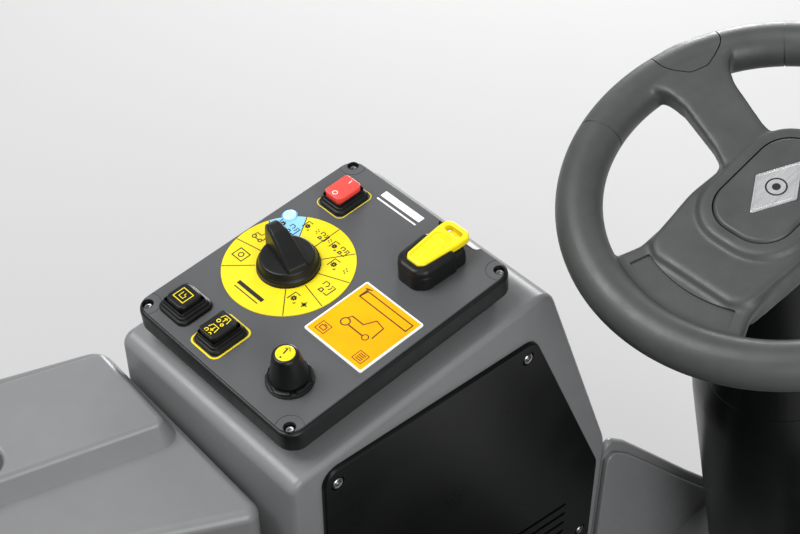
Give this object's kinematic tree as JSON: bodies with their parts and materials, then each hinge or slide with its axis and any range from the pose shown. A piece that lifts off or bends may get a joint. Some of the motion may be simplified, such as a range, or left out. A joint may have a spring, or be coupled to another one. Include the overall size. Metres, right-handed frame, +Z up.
{
  "type": "ride on sweeper",
  "caption": "Ride-on floor sweeper-scrubber with steered front wheel, control console, seat, brush deck, side broom, hopper, squeegee and tanks.",
  "frame": {"origin": "on the floor, under the middle of the machine's plan box", "axes": "+X forward, towards the steered wheel; +Y to the operator's left; +Z up"},
  "size_m": [1.5985, 0.91, 1.1431],
  "materials": {
    "frame_paint": "satin powder coat",
    "steel_part": "turned steel",
    "tank_plastic": "fine-grained rotomoulded polyethylene, mid grey",
    "dark_plastic": "fine-grained black moulding",
    "panel_grey": "satin printed membrane, dark grey",
    "key_yellow": "satin yellow",
    "led_blue": "translucent light blue",
    "rocker_red": "moulded red",
    "lcd_amber": "backlit amber display",
    "lamp_clear": "clear lens",
    "screw_steel": "zinc plated",
    "wheel_rim_grey": "soft-touch dark grey",
    "tyre_rubber": "solid rubber",
    "hub_metal": "silver paint",
    "rubber_black": "matt rubber",
    "vinyl": "grained black vinyl",
    "battery_case": "polypropylene case",
    "bristle": "yellow nylon bristles",
    "bristle_dark": "dark nylon bristles",
    "hopper_plastic": "black moulded polyethylene"
  },
  "bodies": {
    "frame": {"chassis_frame": "frame_paint", "rear_axle": "frame_paint", "floor_pan": "frame_paint", "floor_mat": "rubber_black", "pedal_mount": "frame_paint", "left_tank": "tank_plastic", "right_tank": "tank_plastic", "console_body": "tank_plastic", "console_cover": "dark_plastic", "cover_screws": "screw_steel", "nose_cowl": "tank_plastic", "front_bumper": "rubber_black", "headlights": "lamp_clear", "panel_housing": "dark_plastic", "panel_fascia": "panel_grey", "panel_screws": "screw_steel", "dial_plate": "key_yellow", "led_window": "led_blue", "switch_boots": "dark_plastic", "info_base": "dark_plastic", "lcd_display": "lcd_amber", "key_holder": "dark_plastic", "steering_tower": "dark_plastic", "steering_gearbox": "steel_part", "seat_base": "tank_plastic", "battery_pack": "battery_case", "recovery_tank": "tank_plastic", "suction_hose": "rubber_black"},
    "helm": {"steering_wheel": "wheel_rim_grey", "hub_cover": "wheel_rim_grey", "steering_shaft": "steel_part"},
    "fork": {"front_fork": "frame_paint"},
    "front_wheel": {"front_tyre": "tyre_rubber", "front_hub": "hub_metal"},
    "rear_wheel_left": {"rear_tyre_left": "tyre_rubber", "rear_hub_left": "hub_metal"},
    "rear_wheel_right": {"rear_tyre_right": "tyre_rubber", "rear_hub_right": "hub_metal"},
    "program_selector": {"program_knob": "dark_plastic"},
    "info_selector": {"info_knob": "dark_plastic", "info_cap": "key_yellow"},
    "power_switch": {"power_rocker": "rocker_red"},
    "direction_switch": {"direction_rocker": "dark_plastic"},
    "horn_switch": {"horn_button": "dark_plastic"},
    "key": {"key_fob": "key_yellow"},
    "accelerator": {"accelerator_pedal": "rubber_black"},
    "brake": {"brake_pedal": "rubber_black"},
    "seat": {"seat_pan": "frame_paint", "seat_cushion": "vinyl"},
    "backrest": {"backrest_shell": "dark_plastic", "backrest_cushion": "vinyl"},
    "lid": {"tank_lid": "tank_plastic"},
    "cap": {"filler_cap": "dark_plastic"},
    "deck": {"brush_deck": "frame_paint"},
    "front_roller": {"front_brush": "bristle"},
    "rear_roller": {"rear_brush": "bristle"},
    "debris_hopper": {"hopper": "hopper_plastic"},
    "broom_carrier": {"broom_arm": "frame_paint"},
    "broom": {"side_broom": "bristle_dark"},
    "squeegee_unit": {"squeegee": "frame_paint"}
  },
  "joints": [
    {"name": "fork_turn", "type": "hinge", "parent": "frame", "child": "fork", "pos_m": [0.6, 0, 0.3], "axis": [0, 0, 1], "range_deg": [-80, 80]},
    {"name": "steering_wheel_turn", "type": "hinge", "parent": "frame", "child": "helm", "pos_m": [0.402, 0, 0.942], "axis": [-0.2756, 0, 0.9613], "range_deg": [-240, 240]},
    {"name": "front_wheel_spin", "type": "hinge", "parent": "fork", "child": "front_wheel", "pos_m": [0.6, 0, 0.14], "axis": [0, 1, 0], "continuous": true},
    {"name": "rear_wheel_left_spin", "type": "hinge", "parent": "frame", "child": "rear_wheel_left", "pos_m": [-0.47, 0.37, 0.15], "axis": [0, 1, 0], "continuous": true},
    {"name": "rear_wheel_right_spin", "type": "hinge", "parent": "frame", "child": "rear_wheel_right", "pos_m": [-0.47, -0.37, 0.15], "axis": [0, 1, 0], "continuous": true},
    {"name": "program_knob_turn", "type": "hinge", "parent": "frame", "child": "program_selector", "pos_m": [0.13601, 0.246, 0.86965], "axis": [-0.0872, 0, 0.9962], "range_deg": [-168, 68]},
    {"name": "info_knob_turn", "type": "hinge", "parent": "frame", "child": "info_selector", "pos_m": [0.06429, 0.159, 0.86338], "axis": [-0.0872, 0, 0.9962], "continuous": true},
    {"name": "power_rocker_tip", "type": "hinge", "parent": "frame", "child": "power_switch", "pos_m": [0.21229, 0.2692, 0.88134], "axis": [0, 1, 0], "range_deg": [-7, 7]},
    {"name": "direction_rocker_tip", "type": "hinge", "parent": "frame", "child": "direction_switch", "pos_m": [0.05489, 0.2275, 0.86757], "axis": [0, 1, 0], "range_deg": [-7, 7], "stiffness_Nm_per_rad": 0.2},
    {"name": "horn_press", "type": "slide", "parent": "frame", "child": "horn_switch", "axis": [0.0872, 0, -0.9962], "range_m": [0, 0.0025], "stiffness_N_per_m": 300, "springref_m": -0.001},
    {"name": "key_pull", "type": "slide", "parent": "frame", "child": "key", "axis": [0.9962, 0, 0.0872], "range_m": [0, 0.04]},
    {"name": "accelerator_press", "type": "hinge", "parent": "frame", "child": "accelerator", "pos_m": [0.27, -0.07, 0.312], "axis": [0, 1, 0], "range_deg": [0, 12], "stiffness_Nm_per_rad": 4, "springref_deg": -5.73},
    {"name": "brake_press", "type": "hinge", "parent": "frame", "child": "brake", "pos_m": [0.27, 0.048, 0.312], "axis": [0, 1, 0], "range_deg": [0, 12], "stiffness_Nm_per_rad": 4, "springref_deg": -5.73},
    {"name": "seat_slide", "type": "slide", "parent": "frame", "child": "seat", "axis": [1, 0, 0], "range_m": [-0.05, 0.02]},
    {"name": "backrest_fold", "type": "hinge", "parent": "seat", "child": "backrest", "pos_m": [-0.44, 0, 0.7079], "axis": [0, 1, 0], "range_deg": [0, 55]},
    {"name": "tank_lid_open", "type": "hinge", "parent": "frame", "child": "lid", "pos_m": [-0.7925, 0, 0.794], "axis": [0, -1, 0], "range_deg": [0, 85]},
    {"name": "filler_cap_turn", "type": "hinge", "parent": "frame", "child": "cap", "pos_m": [-0.42, -0.322, 0.815], "axis": [0, 0, 1], "range_deg": [0, 90]},
    {"name": "deck_lift", "type": "slide", "parent": "frame", "child": "deck", "axis": [0, 0, 1], "range_m": [0, 0.045]},
    {"name": "front_brush_spin", "type": "hinge", "parent": "deck", "child": "front_roller", "pos_m": [0.16, 0, 0.0753], "axis": [0, 1, 0], "continuous": true},
    {"name": "rear_brush_spin", "type": "hinge", "parent": "deck", "child": "rear_roller", "pos_m": [-0.005, 0, 0.0753], "axis": [0, 1, 0], "continuous": true},
    {"name": "hopper_slide", "type": "slide", "parent": "frame", "child": "debris_hopper", "axis": [0, -1, 0], "range_m": [0, 0.35]},
    {"name": "broom_lift", "type": "hinge", "parent": "frame", "child": "broom_carrier", "pos_m": [0.3, -0.29, 0.205], "axis": [0, -1, 0], "range_deg": [0, 12]},
    {"name": "side_broom_spin", "type": "hinge", "parent": "broom_carrier", "child": "broom", "pos_m": [0.44, -0.29, 0.1], "axis": [0, 0, 1], "continuous": true},
    {"name": "squeegee_lift", "type": "slide", "parent": "frame", "child": "squeegee_unit", "axis": [0, 0, 1], "range_m": [0, 0.05], "deforming": ["suction_hose"]}
  ],
  "couplings": [
    {"joint": "steering_wheel_turn", "follows": "fork_turn", "ratio": 3},
    {"joint": "rear_brush_spin", "follows": "front_brush_spin", "ratio": -1}
  ]
}
